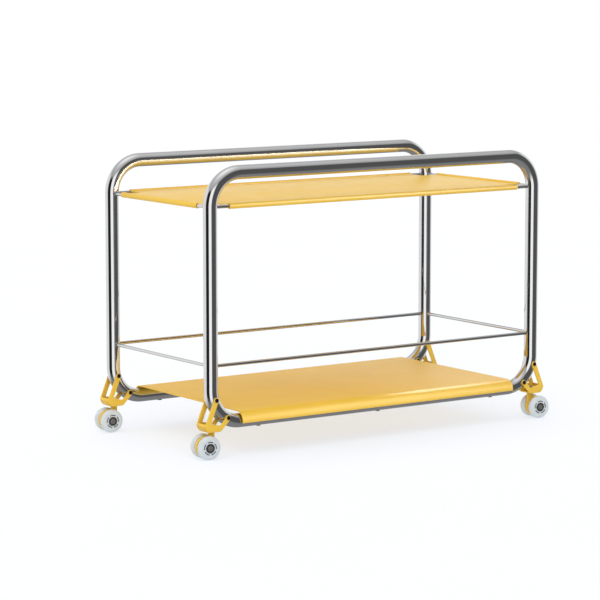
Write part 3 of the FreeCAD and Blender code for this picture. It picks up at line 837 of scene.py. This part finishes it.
class TROLLEY_OT_wheels(bpy.types.Operator):
    """Models the eight wheels, their bearings and the four axles"""
    bl_idname = "trolley.wheels"
    bl_label = "Wheels and axles"

    def execute(self, context):
        wheel = wheel_model()
        bearing = bearing_model()
        wheel_centre = 18.2 * MM
        recess, bearing_half = 0.2 * MM, 3.5 * MM
        bearing_offset = sizes().wheel_width / 2 - recess - bearing_half
        head_sink, middle_gap = 0.18 * MM, 0.2 * MM
        head, head_height, barrel, flats = 6 * MM, 2 * MM, 4 * MM, 4 * MM
        for place in CORNERS:
            joint = rolls[place + "_a"]
            hub, across = Vector(joint["pos_m"]), Vector(joint["axis"]).normalized()
            for letter, side in WHEEL_SIDES.items():
                name = "%s_%s" % (place, letter)
                middle = hub + across * side * wheel_centre
                tyre = duplicate(wheel, "tyre_" + name)
                set_place(tyre, stand(middle, across * side))
                settle(tyre, "wheel_%s_body" % name, "white_urethane", "wheel_" + name)
                model = duplicate(bearing, "bearing_copy")
                places = [stand(middle + across * end * bearing_offset, across * end) for end in (-1, 1)]
                pair = repeat("bearing_pair_" + name, model, places)
                settle(pair, "wheel_%s_body" % name, "bearing_steel", "bearings_" + name)
            reach = wheel_centre + sizes().wheel_width / 2 - head_sink
            model = socket_head("axle_model", head, head_height, barrel, reach - middle_gap, flats)
            places = [stand(hub + across * end * reach, across * end) for end in (-1, 1)]
            axle = repeat("axle_ends_" + place, model, places)
            clothe(axle, "dark_steel")
            settle(axle, "swivel_" + place, "black_steel", "axle_" + place)
        bpy.data.objects.remove(wheel)
        bpy.data.objects.remove(bearing)
        return {"FINISHED"}


class TROLLEY_OT_carried_nodes(bpy.types.Operator):
    """Finishes the frame's own pieces that show as they are"""
    bl_idname = "trolley.carried_nodes"
    bl_label = "Carried-over pieces"

    def execute(self, context):
        finishes = {"lower_shelf_spacers": "plastic", "access_plugs": "plastic", "lower_shelf_studs": "zinc",
                    "lower_shelf_stud_nuts": "zinc"}
        for place in CORNERS:
            for kind in ("swivel_stem_", "stem_nut_", "axle_spacers_"):
                finishes[kind + place] = "zinc"
        for node, key in finishes.items():
            piece = frame["nodes"][node]
            for slot in piece.material_slots:
                slot.material = finish_of(key)
        return {"FINISHED"}


# Stage

def studio_world():
    """White studio with a black flag and a grey wall, which the chrome mirrors as stripes.

    Walls go by heading and the ceiling by height, in degrees, each with its brightness.
    """
    wall_stops = [(-180, 1.1), (-106, 1.1), (-103, 0.03), (-56, 0.02), (-53, 1.38), (-15, 1.38), (-11, 0.17),
                  (10, 0.11), (63, 0.13), (82, 1.1), (180, 1.1)]
    ceiling_stops = [(30, 0.5), (45, 0.62), (60, 0.85), (75, 1.2), (90, 1.4)]
    walls_end, ceiling_starts = 28, 38
    walls_foot, ground_starts = -22, -42
    ground = 0.30
    world = bpy.data.worlds.new("studio")
    world.use_nodes = True
    tree = world.node_tree
    tree.nodes.clear()

    def math_node(operation, *values):
        node = tree.nodes.new("ShaderNodeMath")
        node.operation = operation
        for socket, value in zip(node.inputs, values):
            if isinstance(value, (int, float)):
                socket.default_value = value
            else:
                tree.links.new(value, socket)
        return node.outputs["Value"]

    def mix(factor, a, b):
        node = tree.nodes.new("ShaderNodeMix")
        node.data_type = "RGBA"
        colour_inputs = [s for s in node.inputs if s.type == "RGBA"]
        tree.links.new(factor, node.inputs["Factor"])
        for socket, value in zip(colour_inputs, (a, b)):
            if isinstance(value, (int, float)):
                socket.default_value = (value, value, value, 1)
            else:
                tree.links.new(value, socket)
        return [s for s in node.outputs if s.type == "RGBA"][0]

    def ramp_of(factor, stops, position_of):
        node = tree.nodes.new("ShaderNodeValToRGB")
        elements = node.color_ramp.elements
        while len(elements) < len(stops):
            elements.new(0.5)
        for element, (angle, value) in zip(elements, stops):
            element.position = position_of(angle)
            element.color = (value, value, value, 1)
        tree.links.new(factor, node.inputs["Fac"])
        return node.outputs["Color"]

    def blend(value, start, end):
        node = tree.nodes.new("ShaderNodeMapRange")
        node.inputs["From Min"].default_value = start / 90
        node.inputs["From Max"].default_value = end / 90
        tree.links.new(value, node.inputs["Value"])
        return node.outputs["Result"]

    direction = tree.nodes.new("ShaderNodeTexCoord").outputs["Generated"]
    split = tree.nodes.new("ShaderNodeSeparateXYZ")
    tree.links.new(direction, split.inputs["Vector"])
    heading = math_node("ARCTAN2", split.outputs["X"], math_node("MULTIPLY", split.outputs["Y"], -1.0))
    share = math_node("ADD", math_node("DIVIDE", heading, 2 * math.pi), 0.5)
    walls = ramp_of(share, wall_stops, lambda angle: angle / 360 + 0.5)
    height = math_node("MULTIPLY", math_node("ARCSINE", split.outputs["Z"]), 2 / math.pi)
    ceiling = ramp_of(height, ceiling_stops, lambda angle: angle / 90)
    room = mix(blend(height, walls_end, ceiling_starts), walls, ceiling)
    room = mix(blend(height, walls_foot, ground_starts), room, ground)
    seen = tree.nodes.new("ShaderNodeLightPath").outputs["Is Camera Ray"]
    background = tree.nodes.new("ShaderNodeBackground")
    tree.links.new(mix(seen, room, 1.0), background.inputs["Color"])
    output = tree.nodes.new("ShaderNodeOutputWorld")
    tree.links.new(background.outputs["Background"], output.inputs["Surface"])
    bpy.context.scene.world = world


def soft_light(name, heading, height, spread, strength, only=()):
    """A broad light from a compass heading (0 is the front, 90 the right) and a height, all in degrees.

    Where it has pieces of its own, it only gleams on them; otherwise it lights all and gleams on none.
    """
    deselect()
    bpy.ops.object.light_add(type="SUN")
    light = bpy.context.object
    light.name = name
    turn, rise = math.radians(heading), math.radians(height)
    source = Vector((math.sin(turn) * math.cos(rise), -math.cos(turn) * math.cos(rise), math.sin(rise)))
    light.rotation_euler = (-source).to_track_quat("-Z", "Y").to_euler()
    light.data.angle = math.radians(spread)
    light.data.energy = strength
    light.visible_diffuse = not only
    light.visible_glossy = bool(only)
    if only:
        lit = bpy.data.collections.new(name + "_pieces")
        for piece in only:
            lit.objects.link(piece)
        light.light_linking.receiver_collection = lit


class TROLLEY_OT_stage(bpy.types.Operator):
    """Sets the pale floor, the soft studio light and the camera"""
    bl_idname = "trolley.stage"
    bl_label = "Stage"

    def execute(self, context):
        deselect()
        bpy.ops.mesh.primitive_plane_add(size=14)
        floor = context.object
        floor.name = "studio_floor"
        clothe(floor, "floor")
        floor.visible_glossy = False
        studio_world()
        soft_light("overhead", heading=-60, height=70, spread=60, strength=0.6)
        soft_light("front", heading=-30, height=28, spread=70, strength=0.8)
        upper, lower = bpy.data.objects["upper_shelf_sheet"], bpy.data.objects["lower_shelf_sheet"]
        soft_light("crest_gleam", heading=116, height=52, spread=30, strength=4.0, only=[lower])
        soft_light("roll_gleam", heading=35, height=18, spread=60, strength=5.5, only=[lower])
        soft_light("hem_gleam", heading=35, height=18, spread=60, strength=10.0, only=[upper])
        camera = bpy.data.cameras.new("camera")
        view = bpy.data.objects.new("camera", camera)
        context.scene.collection.objects.link(view)
        look_down, turn = math.radians(90 - 7.540), math.radians(-34.956)
        view.location = (-3.62484, -5.08340, 1.12072)
        view.rotation_euler = (look_down, 0, turn)
        camera.lens = 161.27
        camera.sensor_width = 36
        camera.clip_end = 100
        context.scene.camera = view
        context.scene.view_settings.view_transform = "Standard"
        return {"FINISHED"}


STEPS = (TROLLEY_OT_tube_loops, TROLLEY_OT_rods, TROLLEY_OT_upper_shelf, TROLLEY_OT_lower_shelf,
         TROLLEY_OT_brackets, TROLLEY_OT_swivels, TROLLEY_OT_wheels, TROLLEY_OT_carried_nodes,
         TROLLEY_OT_stage)


class TROLLEY_PT_panel(bpy.types.Panel):
    """Lists the trolley's sizes, colours and steps"""
    bl_label = "Serving trolley"
    bl_idname = "TROLLEY_PT_panel"
    bl_space_type = "VIEW_3D"
    bl_region_type = "UI"
    bl_category = "Trolley"

    def draw(self, context):
        for group in (context.scene.trolley_sizes, context.scene.trolley_colours):
            box = self.layout.box()
            for name in group.__annotations__:
                box.prop(group, name)
        for step in STEPS:
            self.layout.operator(step.bl_idname)


CLASSES = (TrolleySizes, TrolleyColours, *STEPS, TROLLEY_PT_panel)


def register():
    for cls in CLASSES:
        bpy.utils.register_class(cls)
    bpy.types.Scene.trolley_sizes = bpy.props.PointerProperty(type=TrolleySizes)
    bpy.types.Scene.trolley_colours = bpy.props.PointerProperty(type=TrolleyColours)


def unregister():
    del bpy.types.Scene.trolley_colours
    del bpy.types.Scene.trolley_sizes
    for cls in reversed(CLASSES):
        bpy.utils.unregister_class(cls)


def main():
    register()
    bpy.ops.trolley.tube_loops()
    bpy.ops.trolley.rods()
    bpy.ops.trolley.upper_shelf()
    bpy.ops.trolley.lower_shelf()
    bpy.ops.trolley.brackets()
    bpy.ops.trolley.swivels()
    bpy.ops.trolley.wheels()
    bpy.ops.trolley.carried_nodes()
    bpy.ops.trolley.stage()


if __name__ == "__main__":
    main()
